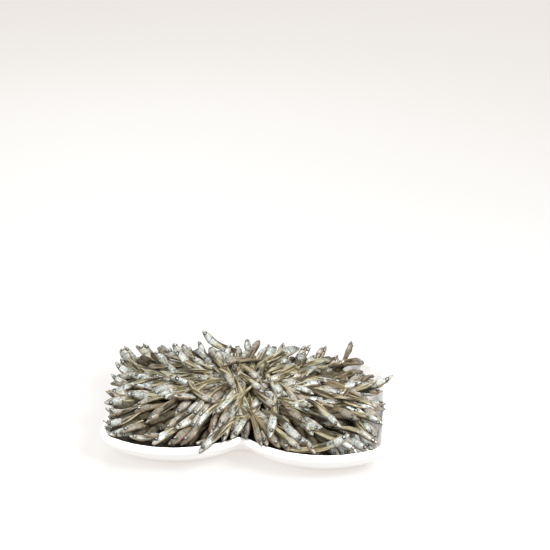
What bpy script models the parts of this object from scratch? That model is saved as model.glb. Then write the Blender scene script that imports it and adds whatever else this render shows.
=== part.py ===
"""Dried anchovies heaped in a white lobed dish.

The dish is a shallow porcelain bowl with two rounded lobes along each long side. The fish lie in
rings on a low core, heads outwards, each ring resting on the bodies of the ring outside it.
Metres, +Z up, origin at the middle of the dish's foot.
"""

import math

import bmesh
import bpy
import numpy as np
from mathutils import Vector

# Dish
DISH_HALF_LENGTH = 0.125
DISH_HALF_DEPTH = 0.0885
DISH_HEIGHT = 0.024
LOBE_X = 0.0658
LOBE_RADIUS = 0.100
NOTCH_RADIUS = 0.004
CORNER_RADIUS = 0.021
RIM_WIDTH = 0.0044
FLOOR_HEIGHT = 0.0048
FOOT_INSET = 0.0165
SHARP_ANGLE = 40.0
PLAN_STEPS = (61, 13, 9)

# Heap: height of its upper side, the bed that the fish are laid on, then the solid core
HEAP_EDGE = 0.0300
HEAP_MIDDLE = 0.0430
HEAP_BACK_LIFT = 0.0025
HEAP_FRONT_DROP = 0.0045
HEAP_FRONT_FROM = 0.050
HEAP_FRONT_RUN = 0.035
HEAP_ROUNDNESS = 2.2
BED_DEPTH = 0.0170
BED_EDGE = 0.0150
BED_INSET = 0.0070
BED_RUN = 0.030
CORE_DEPTH = 0.0036
CORE_BLUR = 0.0040
CORE_RINGS = (0.95, 0.88, 0.79, 0.69, 0.58, 0.46, 0.33, 0.19, 0.07)
CORE_GAP = 0.0008
CORE_STEPS = (8, 3, 3)

# Fish: length, then its layout in rings from the rim inwards
FISH_LENGTH = 0.053
FISH_SIDES = 5
FISH_BANDS = 5
FINER_HEAD = 1.25
LAYOUT_SEED = 17
RING_COUNT = 7
RING_STEP = 0.148
RING_SPACING = 0.0090
SNOUTS_OUT = 1.020
LEFT_REACH = 0.015
RIGHT_PULL = 0.035
FRONT_PULL = 0.065
CORNER_PULL = 0.075
DISH_GAP = 0.0006
SEEN_DEPTH = 0.0008
LEAST_SHOWN = 0.12
TAIL_BELOW = 0.10
TRIANGLE_LIMIT = 11400
GRID_STEP = 0.001
GRID_REACH = (0.150, 0.120)
STATIONS = 15

BACK_TURN = 2.0
FRONT_TURN = 1.25
END_TURN = 0.95
END_FROM = 0.045
END_RUN = 0.050

# Where a ring is drawn in or out: from and over how much of the way round to that side
FRONT_FROM = 0.10
FRONT_RUN = 0.45
SIDE_FROM = 0.55
SIDE_RUN = 0.30
CORNER_AT = 0.42
CORNER_RUN = 0.22

# The inner rings turn into an oval, this share of the dish's depth, by this ring
OVAL_SHARE = 0.92
OVAL_RING = 2.5

# Unevenness: snouts along and off their ring, headings (more to the right), bends, lengths, leans
MARK_SPREAD = 0.25
SNOUT_SPREAD = 0.0022
TURN_SPREAD = 0.11
MORE_SPREAD = 0.13
LOOSER_FROM = -0.02
LOOSER_RUN = 0.06
BEND_SPREAD = 0.20
LENGTHS = (0.86, 1.12)
LEAN = 35.0
LEAN_SPREAD = 20.0

# Resting: share of the half width and how far the body has rounded off there, then the fit's limits
REST_POINTS = ((-0.8, 0.4), (-0.4, 0.08), (0.0, 0.0), (0.4, 0.08), (0.8, 0.4))
LEAST_PULL = 0.4
MOST_CURVE = 0.28
MOST_SLOPE = 0.60
PRESS = 0.45

# Millimetres of raised snout from which a fish no longer droops over the ones below
STRAIGHT_FROM = 12.0
TOP_BEND = 0.4
TOP_LEAN = math.radians(42.0)

# Fish that cross the others: snout in millimetres, heading in degrees, snout raised by millimetres
FISH_ON_TOP = (
    (-130.0, 62.0, 116.0, 5.0),
    (-33.0, -94.0, -122.0, 5.0),
    (-9.0, -74.0, -118.0, 2.0),
    (20.0, -81.0, -64.0, 3.0),
    (26.0, -74.0, -92.0, 2.0),
    (53.0, -84.0, -36.0, 2.0),
    (57.0, -79.0, -42.0, 3.0),
    (94.0, -70.0, 30.0, 1.0),
    (86.0, -58.0, -44.0, 2.0),
    (55.0, -56.0, -28.0, 2.0),
    (-26.0, -42.0, -38.0, 2.0),
    (-24.0, -52.0, -126.0, 2.0),
    (101.0, 63.0, 58.0, 2.0),
    (73.0, 64.0, 57.0, 3.0),
    (41.0, 70.0, 54.0, 4.0),
    (-85.0, 44.0, 145.0, 6.0),
    (-12.0, 82.0, 104.0, 17.0),
    (1.0, 80.0, 84.0, 18.0),
    (-54.0, 72.0, 148.0, 20.0),
    (-36.0, 47.0, 108.0, 6.0),
    (29.0, -46.0, -53.0, 2.0),
    (27.0, -31.0, -83.0, 3.0),
    (-9.0, -16.0, -47.0, 3.0),
    (-26.0, 14.0, -128.0, 4.0),
    (10.0, -9.0, -64.0, 4.0),
    (16.0, -26.0, -51.0, 4.0),
    (13.0, -9.0, -139.0, 5.0),
)

# Share of the fish's length from the snout, then half its height and half its thickness there
BODY_PROFILE = (
    (0.00, 0.000, 0.000),
    (0.04, 0.036, 0.024),
    (0.10, 0.059, 0.038),
    (0.20, 0.078, 0.046),
    (0.29, 0.081, 0.047),
    (0.38, 0.070, 0.040),
    (0.52, 0.065, 0.035),
    (0.70, 0.057, 0.028),
    (0.85, 0.041, 0.018),
    (0.94, 0.024, 0.009),
    (1.00, 0.026, 0.003),
)

WHITE = (0.93, 0.93, 0.91)
GLAZE_ROUGHNESS = 0.12
FISH_TAN = (0.42, 0.38, 0.30)
SKIN_ROUGHNESS = 0.55


def clear_scene():
    for obj in list(bpy.data.objects):
        bpy.data.objects.remove(obj, do_unlink=True)


def material(name, colour, roughness):
    made = bpy.data.materials.new(name)
    made.use_nodes = True
    shader = made.node_tree.nodes["Principled BSDF"]
    shader.inputs["Base Color"].default_value = (*colour, 1.0)
    shader.inputs["Roughness"].default_value = roughness
    return made


def link(obj, collection):
    collection.objects.link(obj)
    return obj


# The dish's plan

def arc(centre, radius, start, end, steps):
    """Points along an arc, both ends included; angles in radians."""
    angles = np.linspace(start, end, steps)
    return [(centre[0] + radius * math.cos(a), centre[1] + radius * math.sin(a)) for a in angles]


def dish_outline(inset, lobe_steps=12, corner_steps=4, notch_steps=3):
    """The rim's plan, moved inwards: a notch, a lobe, a corner and a straight end, mirrored twice."""
    lobe = (LOBE_X, LOBE_RADIUS - DISH_HALF_DEPTH)
    notch_drop = math.sqrt((LOBE_RADIUS + NOTCH_RADIUS) ** 2 - LOBE_X**2)
    notch = (0.0, lobe[1] - notch_drop)
    to_lobe = math.atan2(notch_drop, LOBE_X)
    across = DISH_HALF_LENGTH - CORNER_RADIUS - LOBE_X
    corner_drop = math.sqrt((LOBE_RADIUS - CORNER_RADIUS) ** 2 - across**2)
    corner = (lobe[0] + across, lobe[1] - corner_drop)
    to_corner = math.atan2(-corner_drop, across)
    quarter = arc(notch, NOTCH_RADIUS + inset, math.pi / 2, to_lobe, notch_steps)
    quarter += arc(lobe, LOBE_RADIUS - inset, to_lobe - math.pi, to_corner, lobe_steps)[1:]
    quarter += arc(corner, CORNER_RADIUS - inset, to_corner, 0.0, corner_steps)[1:]
    quarter.append((DISH_HALF_LENGTH - inset, 0.0))
    right = quarter + [(x, -y) for x, y in reversed(quarter[:-1])]
    left = [(-x, y) for x, y in reversed(right[1:-1])]
    return right + left


def ring_loft(name, rings):
    """A closed solid through rings of equal count, its first and last ring capped."""
    bm = bmesh.new()
    made = []
    for ring in rings:
        loop = [bm.verts.new(point) for point in ring]
        made.append([bm.edges.new((loop[i - 1], loop[i])) for i in range(len(loop))])
    for lower, upper in zip(made, made[1:]):
        bmesh.ops.bridge_loops(bm, edges=lower + upper)
    for ends in (made[0], made[-1]):
        bmesh.ops.contextual_create(bm, geom=ends)
    bmesh.ops.triangulate(bm, faces=bm.faces[:])
    bmesh.ops.recalc_face_normals(bm, faces=bm.faces[:])
    mesh = bpy.data.meshes.new(name)
    bm.to_mesh(mesh)
    bm.free()
    return bpy.data.objects.new(name, mesh)


def inner_wall():
    """(inset, height) from below the rim down the inside to the floor."""
    return [(0.0066, 0.0160), (0.0102, 0.0105), (0.0145, 0.0070), (0.0190, FLOOR_HEIGHT)]


def wall_profile():
    """(inset, height) up the outside, over the round rim and down the inside to the floor."""
    rim_radius = RIM_WIDTH / 2
    rim_centre = (rim_radius, DISH_HEIGHT - rim_radius)
    outside = [
        (FOOT_INSET, 0.0),
        (FOOT_INSET - 0.0002, 0.0018),
        (0.0108, 0.0054),
        (0.0062, 0.0104),
        (0.0024, 0.0156),
        (0.0003, 0.0178),
    ]
    rim = [
        (rim_centre[0] - rim_radius * math.cos(a), rim_centre[1] + rim_radius * math.sin(a))
        for a in np.linspace(0.0, math.pi, 5)
    ]
    return outside + rim + inner_wall()


def build_dish(collection, glaze):
    rings = [[(x, y, height) for x, y in dish_outline(inset)] for inset, height in wall_profile()]
    dish = link(ring_loft("dish", rings), collection)
    dish.data.materials.append(glaze)
    dish.data.shade_smooth()
    dish.data.set_sharp_from_angle(angle=math.radians(SHARP_ANGLE))
    return dish


# Heights inside the dish

def smoothstep(value):
    value = np.clip(value, 0.0, 1.0)
    return value * value * (3.0 - 2.0 * value)


class Plan:
    """The dish seen from above: how far its edge is from the middle in each direction."""

    def __init__(self):
        corners = np.array(dish_outline(0.0, *PLAN_STEPS))
        corners = np.vstack([corners, corners[:1]])
        run = np.concatenate([[0.0], np.cumsum(np.hypot(*np.diff(corners, axis=0).T))])
        marks = np.arange(0.0, run[-1], GRID_STEP)
        edge = np.stack([np.interp(marks, run, corners[:, 0]), np.interp(marks, run, corners[:, 1])], axis=1)
        angle = np.arctan2(edge[:, 1], edge[:, 0])
        order = np.argsort(angle)
        self.edge = edge
        self.angle = angle[order]
        self.radius = np.hypot(edge[:, 0], edge[:, 1])[order]

    def reach(self, angle):
        return np.interp(angle, self.angle, self.radius, period=2 * math.pi)

    def share(self, x, y):
        """0 in the middle of the dish, 1 at its edge."""
        return np.hypot(x, y) / self.reach(np.arctan2(y, x))

    def inset(self, x, y):
        """Distance in from the edge, less than zero outside it."""
        gap = np.full(np.shape(x), 1.0)
        for edge_x, edge_y in self.edge:
            gap = np.minimum(gap, np.hypot(x - edge_x, y - edge_y))
        return np.where(self.share(x, y) < 1.0, gap, -gap)


def heap_height(plan, x, y):
    """Height of the heap's upper side, a low mound that is a little higher at the back."""
    share = np.clip(plan.share(x, y), 0.0, 1.0)
    rise = (HEAP_MIDDLE - HEAP_EDGE) * (1.0 - share**HEAP_ROUNDNESS)
    front = smoothstep((-y - HEAP_FRONT_FROM) / HEAP_FRONT_RUN)
    return HEAP_EDGE + rise + HEAP_BACK_LIFT * y / DISH_HALF_DEPTH - HEAP_FRONT_DROP * front


def bed_height(plan, x, y, inset):
    """Height of the bed that the first fish are laid on, lower beside the wall."""
    deep = heap_height(plan, x, y) - BED_DEPTH
    return BED_EDGE + (deep - BED_EDGE) * smoothstep((inset - BED_INSET) / BED_RUN)


class HeightField:
    """The heap's height so far, on a grid over the dish."""

    def __init__(self, plan):
        self.low = (-GRID_REACH[0], -GRID_REACH[1])
        x = np.arange(-GRID_REACH[0], GRID_REACH[0] + GRID_STEP / 2, GRID_STEP)
        y = np.arange(-GRID_REACH[1], GRID_REACH[1] + GRID_STEP / 2, GRID_STEP)
        self.x, self.y = np.meshgrid(x, y, indexing="ij")
        inset = plan.inset(self.x, self.y)
        # Each wall point counts for the millimetre round it, as the grid is coarse
        wall = [(RIM_WIDTH + GRID_STEP / 2, DISH_HEIGHT)] + inner_wall()
        insets = [at + GRID_STEP / 2 for at, _ in wall]
        self.dish = np.interp(inset, insets, [height for _, height in wall])
        self.dish[inset < -GRID_STEP / 2] = -1.0
        bed = bed_height(plan, self.x, self.y, inset)
        self.height = np.where(inset > BED_INSET, np.maximum(bed, self.dish), self.dish)
        self.cap = heap_height(plan, self.x, self.y)

    def at(self, x, y):
        return self.height[self.index(x, y)]

    def index(self, x, y):
        i = np.clip(np.rint((x - self.low[0]) / GRID_STEP).astype(int), 0, self.x.shape[0] - 1)
        j = np.clip(np.rint((y - self.low[1]) / GRID_STEP).astype(int), 0, self.x.shape[1] - 1)
        return i, j


class Fish:
    """One fish: snout, heading, length, roll and bend. t runs from 0 at the snout to 1 at the tail."""

    def __init__(self, snout, heading, length, roll, bend):
        self.snout = snout
        self.heading = heading
        self.length = length
        self.roll = roll
        self.bend = bend
        self.rise = (0.0, 0.0, 0.0)

    def plan(self, t):
        """Plan position and direction of the centreline, a shallow arc."""
        angle = self.heading + math.pi + self.bend * t
        middle = self.heading + math.pi + self.bend * t / 2
        reach = self.length * t
        return (
            self.snout[0] + reach * np.cos(middle),
            self.snout[1] + reach * np.sin(middle),
            angle,
        )

    def height(self, t):
        base, slope, curve = self.rise
        return base + slope * t + curve * t * t

    def half_sizes(self, t):
        table = np.array(BODY_PROFILE)
        tall = np.interp(t, table[:, 0], table[:, 1]) * self.length
        thick = np.interp(t, table[:, 0], table[:, 2]) * self.length
        return tall, thick

    def spans(self, t):
        """Half the body's vertical and sideways reach, as it lies."""
        tall, thick = self.half_sizes(t)
        up = np.hypot(tall * math.cos(self.roll), thick * math.sin(self.roll))
        side = np.hypot(tall * math.sin(self.roll), thick * math.cos(self.roll))
        return up, side

    def surface(self, t, around):
        """A point on the body: around is 0 at the back and turns towards the fish's left."""
        tall, thick = self.half_sizes(t)
        x, y, angle = self.plan(t)
        out_up = tall * np.cos(around)
        out_side = thick * np.sin(around)
        up = out_up * math.cos(self.roll) - out_side * math.sin(self.roll)
        side = out_up * math.sin(self.roll) + out_side * math.cos(self.roll)
        return x - side * np.sin(angle), y + side * np.cos(angle), self.height(t) + up


def rest_on(field, fish, on_top=False):
    """Lays the fish on the heap: a shallow curve fitted to what is under it, pressed in a little."""
    t = np.linspace(0.02, 0.98, STATIONS)
    x, y, angle = fish.plan(t)
    up, side = fish.spans(t)
    under = np.full(STATIONS, -1.0)
    for share, drop in REST_POINTS:
        offset = side * share
        place = field.index(x - offset * np.sin(angle), y + offset * np.cos(angle))
        limit = field.cap[place] - (0.0 if on_top else 2.0) * up
        limit = np.maximum(limit, field.dish[place])
        under = np.maximum(under, np.minimum(field.height[place], limit) - up * drop)
    held = under > 0.0
    wanted = (under + up)[held]
    order = np.vander(t[held], 3, increasing=True)
    pull = np.sqrt(LEAST_PULL + side[held] / side.max())
    base, slope, curve = np.linalg.lstsq(order * pull[:, None], wanted * pull, rcond=None)[0]
    curve = float(np.clip(curve, -MOST_CURVE * fish.length, MOST_CURVE * fish.length))
    slope = float(np.clip(slope, -MOST_SLOPE * fish.length, MOST_SLOPE * fish.length))
    short = wanted - (base + slope * t[held] + curve * t[held] ** 2)
    lift = (1.0 - PRESS) * float(short.max()) + PRESS * float(np.mean(short))
    fish.rise = (base + lift, slope, curve)


def lift_clear(field, fish):
    """Raises the fish so that no part of it reaches the dish."""
    t = np.linspace(0.0, 1.0, 41)
    worst = 0.0
    for around in np.linspace(0.0, 2 * math.pi, 13)[:-1]:
        x, y, z = fish.surface(t, around)
        dish = field.dish[field.index(x, y)]
        worst = max(worst, float(np.where(dish > 0.0, dish + DISH_GAP - z, 0.0).max()))
    base, slope, curve = fish.rise
    fish.rise = (base + worst, slope, curve)


def add_to_field(field, fish):
    """Adds the fish's upper side to the heights."""
    t = np.linspace(0.0, 1.0, 120)
    x, y, angle = fish.plan(t)
    up, side = fish.spans(t)
    for share in np.linspace(-1.0, 1.0, 13):
        offset = side * share
        place = field.index(x - offset * np.sin(angle), y + offset * np.cos(angle))
        top = fish.height(t) + up * math.sqrt(max(0.0, 1.0 - share * share))
        np.maximum.at(field.height, place, top)


def ring_places(plan, number, rng):
    """Evenly spread snouts of one ring; only the front ones stay inside the rim."""
    angle = np.linspace(-math.pi, math.pi, 721)
    front = smoothstep((-np.sin(angle) - FRONT_FROM) / FRONT_RUN)
    right = smoothstep((np.cos(angle) - SIDE_FROM) / SIDE_RUN)
    left = smoothstep((-np.cos(angle) - SIDE_FROM) / SIDE_RUN)
    corner = np.exp(-(((angle - CORNER_AT) / CORNER_RUN) ** 2))
    outer = plan.reach(angle)
    oval = 1.0 / np.hypot(np.cos(angle) / DISH_HALF_LENGTH, np.sin(angle) / (OVAL_SHARE * DISH_HALF_DEPTH))
    blend = min(1.0, number / OVAL_RING)
    edge = (1.0 - blend) * outer + blend * oval
    share = SNOUTS_OUT + LEFT_REACH * left - RIGHT_PULL * right - FRONT_PULL * front - CORNER_PULL * corner
    reach = edge * share * (1.0 - RING_STEP * number)
    x, y = reach * np.cos(angle), reach * np.sin(angle)
    run = np.concatenate([[0.0], np.cumsum(np.hypot(np.diff(x), np.diff(y)))])
    count = max(4, round(run[-1] / RING_SPACING))
    marks = np.arange(count) + rng.uniform(-MARK_SPREAD, MARK_SPREAD, count) + rng.uniform()
    marks = np.mod(marks * run[-1] / count, run[-1])
    return np.interp(marks, run, x), np.interp(marks, run, y)


def heading_at(x, y):
    """Way that the heads point: outwards, more to the back in the back half, level at the ends."""
    if y > 0.0:
        return math.atan2(BACK_TURN * y, x)
    end = smoothstep((abs(x) - END_FROM) / END_RUN)
    return math.atan2((FRONT_TURN + (END_TURN - FRONT_TURN) * end) * y, x)


def some_fish(rng, x, y, heading):
    """A fish of uneven size and bend, its flatter side looking up and leaning to the front."""
    loose = TURN_SPREAD + MORE_SPREAD * smoothstep((x - LOOSER_FROM) / LOOSER_RUN)
    outwards = math.atan2(y, x)
    bend = math.remainder(outwards - heading, 2 * math.pi) + rng.normal(0.0, BEND_SPREAD)
    heading += rng.normal(0.0, loose)
    length = FISH_LENGTH * rng.uniform(*LENGTHS)
    lean = math.radians(-LEAN * math.cos(heading) + rng.normal(0.0, LEAN_SPREAD))
    roll = rng.choice((1.0, 1.0, -1.0)) * math.pi / 2 - lean
    return Fish((x, y), heading, length, roll, bend)


def lay_fish():
    """Every fish of the heap that can be seen, from the outermost ring in, then those on top."""
    rng = np.random.default_rng(LAYOUT_SEED)
    plan = Plan()
    field = HeightField(plan)
    fish = []
    for number in range(RING_COUNT):
        for x, y in zip(*ring_places(plan, number, rng)):
            x += rng.normal(0.0, SNOUT_SPREAD)
            y += rng.normal(0.0, SNOUT_SPREAD)
            one = some_fish(rng, x, y, heading_at(x, y))
            rest_on(field, one)
            lift_clear(field, one)
            add_to_field(field, one)
            fish.append(one)
    for x, y, heading, raised in FISH_ON_TOP:
        one = some_fish(rng, x / 1000.0, y / 1000.0, math.radians(heading))
        one.heading = math.radians(heading)
        one.bend *= TOP_BEND
        one.roll = math.copysign(math.pi / 2, one.roll) + TOP_LEAN * math.cos(one.heading)
        rest_on(field, one, on_top=True)
        base, slope, curve = one.rise
        flatter = curve * max(0.0, 1.0 - raised / STRAIGHT_FROM)
        one.rise = (base + raised / 1000.0, slope + curve - flatter - raised / 1000.0, flatter)
        lift_clear(field, one)
        add_to_field(field, one)
        fish.append(one)
    return fish, field


def part_that_shows(field, fish):
    """How much of the fish lies open to the sky, and how far along it that reaches."""
    t = np.linspace(0.02, 0.98, 33)
    x, y, angle = fish.plan(t)
    up, side = fish.spans(t)
    open_above = np.zeros(len(t))
    for share in (-0.5, 0.0, 0.5):
        offset = side * share
        top = fish.height(t) + up * math.sqrt(1.0 - share * share)
        heap = field.at(x - offset * np.sin(angle), y + offset * np.cos(angle))
        open_above += top > heap - SEEN_DEPTH
    seen = t[open_above > 0]
    return float(np.mean(open_above)) / 3, float(seen.max()) if len(seen) else 0.0


def fish_mesh(name, fish, end, sides, rings):
    """A ball whose rings are drawn out along the fish's curve, up to a share of its length."""
    bm = bmesh.new()
    bmesh.ops.create_uvsphere(bm, u_segments=sides, v_segments=rings, radius=1.0)
    stations = end * np.linspace(0.0, 1.0, rings + 1) ** FINER_HEAD
    for vert in bm.verts:
        down = math.acos(max(-1.0, min(1.0, vert.co.z))) / math.pi
        t = float(stations[round(down * rings)])
        around = math.atan2(vert.co.y, vert.co.x)
        if down < 0.5 / rings or down > 1 - 0.5 / rings:
            x, y, _ = fish.plan(t)
            vert.co = Vector((x, y, fish.height(t)))
        else:
            vert.co = Vector(fish.surface(t, around))
    bmesh.ops.recalc_face_normals(bm, faces=bm.faces[:])
    mesh = bpy.data.meshes.new(name)
    bm.to_mesh(mesh)
    bm.free()
    return bpy.data.objects.new(name, mesh)


def core_height(field, x, y):
    """A little under the heap's upper side, averaged round the point."""
    around = np.linspace(0.0, 2 * math.pi, 9)[:-1]
    heights = [field.at(x, y)]
    for a in around:
        heights.append(field.at(x + CORE_BLUR * math.cos(a), y + CORE_BLUR * math.sin(a)))
    return np.mean(heights, axis=0) - CORE_DEPTH


def build_core(collection, field):
    """The heap's plain middle: the dish's inside less a gap, closed by a mound under the fish."""
    inside = [(inset + CORE_GAP, height + CORE_GAP) for inset, height in reversed(inner_wall())]
    rings = [[(x, y, height) for x, y in dish_outline(inset, *CORE_STEPS)] for inset, height in inside]
    outer = np.array(dish_outline(inside[-1][0], *CORE_STEPS))
    for share in CORE_RINGS:
        x, y = share * outer[:, 0], share * outer[:, 1]
        rings.append(list(zip(x, y, core_height(field, x, y))))
    return link(ring_loft("anchovies", rings), collection)


def keep_outer_shell(obj):
    """Drops loose scraps, the walls of sealed hollows and points that only part an edge in two."""
    bm = bmesh.new()
    bm.from_mesh(obj.data)
    left = set(bm.verts)
    shells = []
    while left:
        front = [left.pop()]
        shell = set(front)
        while front:
            for edge in front.pop().link_edges:
                near = left.intersection(edge.verts)
                left -= near
                shell |= near
                front.extend(near)
        shells.append(shell)
    shells.sort(key=len, reverse=True)
    extra = [vert for shell in shells[1:] for vert in shell]
    bmesh.ops.delete(bm, geom=extra, context="VERTS")
    on_an_edge = [vert for vert in bm.verts if len(vert.link_edges) == 2]
    bmesh.ops.dissolve_verts(bm, verts=on_an_edge)
    bmesh.ops.triangulate(bm, faces=bm.faces[:])
    bm.to_mesh(obj.data)
    bm.free()


def fuse(core, loose):
    """One solid of the core and every fish in the collection, which is then removed."""
    union = core.modifiers.new("fish", "BOOLEAN")
    union.operation = "UNION"
    union.operand_type = "COLLECTION"
    union.collection = loose
    seen = core.evaluated_get(bpy.context.evaluated_depsgraph_get())
    fused = bpy.data.meshes.new_from_object(seen)
    core.modifiers.clear()
    core.data = fused
    for obj in list(loose.objects):
        bpy.data.objects.remove(obj, do_unlink=True)
    bpy.data.collections.remove(loose)
    keep_outer_shell(core)
    simpler = core.modifiers.new("fewer_triangles", "DECIMATE")
    simpler.ratio = TRIANGLE_LIMIT / len(core.data.polygons)


def main():
    clear_scene()
    collection = bpy.data.collections.new("anchovy_dish")
    bpy.context.scene.collection.children.link(collection)
    glaze = material("white_glaze", WHITE, GLAZE_ROUGHNESS)
    skin = material("dried_fish", FISH_TAN, SKIN_ROUGHNESS)
    build_dish(collection, glaze)
    loose = bpy.data.collections.new("loose_fish")
    bpy.context.scene.collection.children.link(loose)
    fish, field = lay_fish()
    core = build_core(collection, field)
    core.data.materials.append(skin)
    for number, one in enumerate(fish):
        share, end = part_that_shows(field, one)
        if share > LEAST_SHOWN:
            end = min(1.0, end + TAIL_BELOW)
            link(fish_mesh(f"fish_{number:03d}", one, end, FISH_SIDES, FISH_BANDS), loose)
    fuse(core, loose)


if __name__ == "__main__":
    main()
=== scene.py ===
# %% [markdown]
# Dried anchovies heaped in a white lobed dish.
#
# The heap is a few hundred small fish, laid in rings with their heads outwards and their tails
# under the ring inside them. The solids hold the same fish in a plain form. This lesson models one
# fish well, bends it along each place in the heap, and paints it from values stored on its points.

import math
from dataclasses import dataclass

import bmesh
import bpy
import numpy as np
from mathutils import Euler, Matrix, Vector


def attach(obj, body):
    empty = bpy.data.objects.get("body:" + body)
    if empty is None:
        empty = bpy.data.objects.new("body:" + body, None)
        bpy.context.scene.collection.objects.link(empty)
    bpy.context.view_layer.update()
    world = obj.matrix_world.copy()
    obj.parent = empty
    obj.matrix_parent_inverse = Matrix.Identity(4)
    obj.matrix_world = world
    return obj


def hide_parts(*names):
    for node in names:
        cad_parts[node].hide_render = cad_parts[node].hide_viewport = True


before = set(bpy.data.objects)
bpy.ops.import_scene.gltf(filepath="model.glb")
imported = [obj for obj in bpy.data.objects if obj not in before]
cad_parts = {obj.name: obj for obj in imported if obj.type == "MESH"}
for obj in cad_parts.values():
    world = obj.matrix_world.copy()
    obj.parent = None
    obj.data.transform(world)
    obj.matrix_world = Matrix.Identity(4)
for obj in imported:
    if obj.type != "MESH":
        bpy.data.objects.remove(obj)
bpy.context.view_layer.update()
scene = bpy.context.scene


def new_object(name, data):
    """A new object of the scene."""
    made = bpy.data.objects.new(name, data)
    scene.collection.objects.link(made)
    return made


def set_inputs(node, values):
    """Sets constants on a node's sockets, by name."""
    for name, value in values.items():
        node.inputs[name].default_value = value


def new_mesh(name, bm):
    """A mesh of what has been built."""
    made = bpy.data.meshes.new(name)
    bm.to_mesh(made)
    bm.free()
    return made


# %% [markdown]
# The camera comes first. The picture was taken from a little to the right, looking down by about
# thirty degrees, with a long lens. The dish sits low in the picture, so the camera is tilted less
# than the line from it to the dish.

# %% Camera
CAMERA_AZIMUTH = math.radians(6.08)
CAMERA_ELEVATION = math.radians(30.75)
CAMERA_DISTANCE = 1.2587
CAMERA_TILT = math.radians(25.388)
CAMERA_TURN = math.radians(4.875)
CAMERA_ROLL = math.radians(0.262)
AIM_HEIGHT = 0.02
LENS = 90.0
SENSOR_WIDTH = 36.0

camera_data = bpy.data.cameras.new("camera")
camera_data.lens = LENS
camera_data.sensor_width = SENSOR_WIDTH
camera = new_object("camera", camera_data)
away = CAMERA_DISTANCE * math.cos(CAMERA_ELEVATION)
camera.location = (
    away * math.sin(CAMERA_AZIMUTH),
    -away * math.cos(CAMERA_AZIMUTH),
    AIM_HEIGHT + CAMERA_DISTANCE * math.sin(CAMERA_ELEVATION),
)
aim = Euler((math.pi / 2 - CAMERA_TILT, 0.0, CAMERA_TURN)).to_matrix()
camera.rotation_euler = (aim @ Matrix.Rotation(CAMERA_ROLL, 3, "Z")).to_euler()
scene.camera = camera
print("camera at", tuple(round(v, 3) for v in camera.location))

# %% [markdown]
# A white dish on a white table shows only by soft shading. A bright even sky fills the scene, and
# three wide lamps, from the upper right, the left and the back, give the skins their shine.

# %% Sky and lamps
SKY_COLOUR = (1.0, 1.0, 1.0, 1.0)
SKY_STRENGTH = 0.76
LAMPS = (
    # name, place, size, power, colour
    ("lamp_key", (0.58, -0.18, 0.68), 0.4, 13.5, (1.0, 0.985, 0.96)),
    ("lamp_fill", (-0.80, -0.50, 0.85), 0.8, 12.0, (1.0, 0.99, 0.97)),
    ("lamp_back", (-0.30, 0.80, 0.80), 0.5, 7.0, (1.0, 0.99, 0.97)),
)

scene.view_settings.view_transform = "Standard"
world = bpy.data.worlds.new("sky")
world.use_nodes = True
scene.world = world
sky = world.node_tree.nodes["Background"]
set_inputs(sky, {"Color": SKY_COLOUR, "Strength": SKY_STRENGTH})

for name, place, size, power, colour in LAMPS:
    lamp_data = bpy.data.lights.new(name, "AREA")
    lamp_data.size = size
    lamp_data.energy = power
    lamp_data.color = colour
    lamp = new_object(name, lamp_data)
    lamp.location = place
    lamp.rotation_euler = (-Vector(place)).to_track_quat("-Z", "Y").to_euler()
print("lamps", [name for name, *_ in LAMPS])

# %% [markdown]
# A finish is a net of nodes. These helpers make one node each and join it up, so that a material
# reads as a list of steps: a noise, a soft mask made from it, a blend of two colours by the mask.

# %% Helpers for finishes
def join(source, target):
    """Links one socket to another; a socket knows its own tree."""
    source.id_data.links.new(source, target)


def principled(name):
    """A new material with one Principled shader: the material, its tree and the shader."""
    made = bpy.data.materials.new(name)
    made.use_nodes = True
    tree = made.node_tree
    tree.nodes.clear()
    end = tree.nodes.new("ShaderNodeOutputMaterial")
    shader = tree.nodes.new("ShaderNodeBsdfPrincipled")
    join(shader.outputs[0], end.inputs["Surface"])
    return made, tree, shader


def noise_of(place, scale, detail=3.0, roughness=0.55):
    """The value of a noise texture read at a place."""
    made = place.id_data.nodes.new("ShaderNodeTexNoise")
    set_inputs(made, {"Scale": scale, "Detail": detail, "Roughness": roughness})
    join(place, made.inputs["Vector"])
    return made.outputs["Fac"]


def ramped(value, low, high, out_low=0.0, out_high=1.0):
    """The value moved from one range to another, with soft ends."""
    made = value.id_data.nodes.new("ShaderNodeMapRange")
    made.interpolation_type = "SMOOTHSTEP"
    set_inputs(made, {"From Min": low, "From Max": high, "To Min": out_low, "To Max": out_high})
    join(value, made.inputs["Value"])
    return made.outputs["Result"]


def blended(amount, first, second):
    """A mix of two colours; each is a socket or a plain colour."""
    # The mix node has a set of sockets for each kind of data: 6, 7 and 2 are those for colour
    made = amount.id_data.nodes.new("ShaderNodeMix")
    made.data_type = "RGBA"
    join(amount, made.inputs[0])
    for colour, socket in ((first, made.inputs[6]), (second, made.inputs[7])):
        if isinstance(colour, tuple):
            socket.default_value = colour
        else:
            join(colour, socket)
    return made.outputs[2]


def counted(operation, first, second=0.0):
    """A sum, product or other result of two values; one of them may be a plain number."""
    known = second if isinstance(first, float) else first
    made = known.id_data.nodes.new("ShaderNodeMath")
    made.operation = operation
    for value, socket in ((first, made.inputs[0]), (second, made.inputs[1])):
        if isinstance(value, float):
            socket.default_value = value
        else:
            join(value, socket)
    return made.outputs[0]


def times(first, second):
    """The product of two values."""
    return counted("MULTIPLY", first, second)


def bumped(shader, height, strength, distance):
    """Shades the surface as if it had that height."""
    bump = height.id_data.nodes.new("ShaderNodeBump")
    set_inputs(bump, {"Strength": strength, "Distance": distance})
    join(height, bump.inputs["Height"])
    join(bump.outputs["Normal"], shader.inputs["Normal"])


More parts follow.
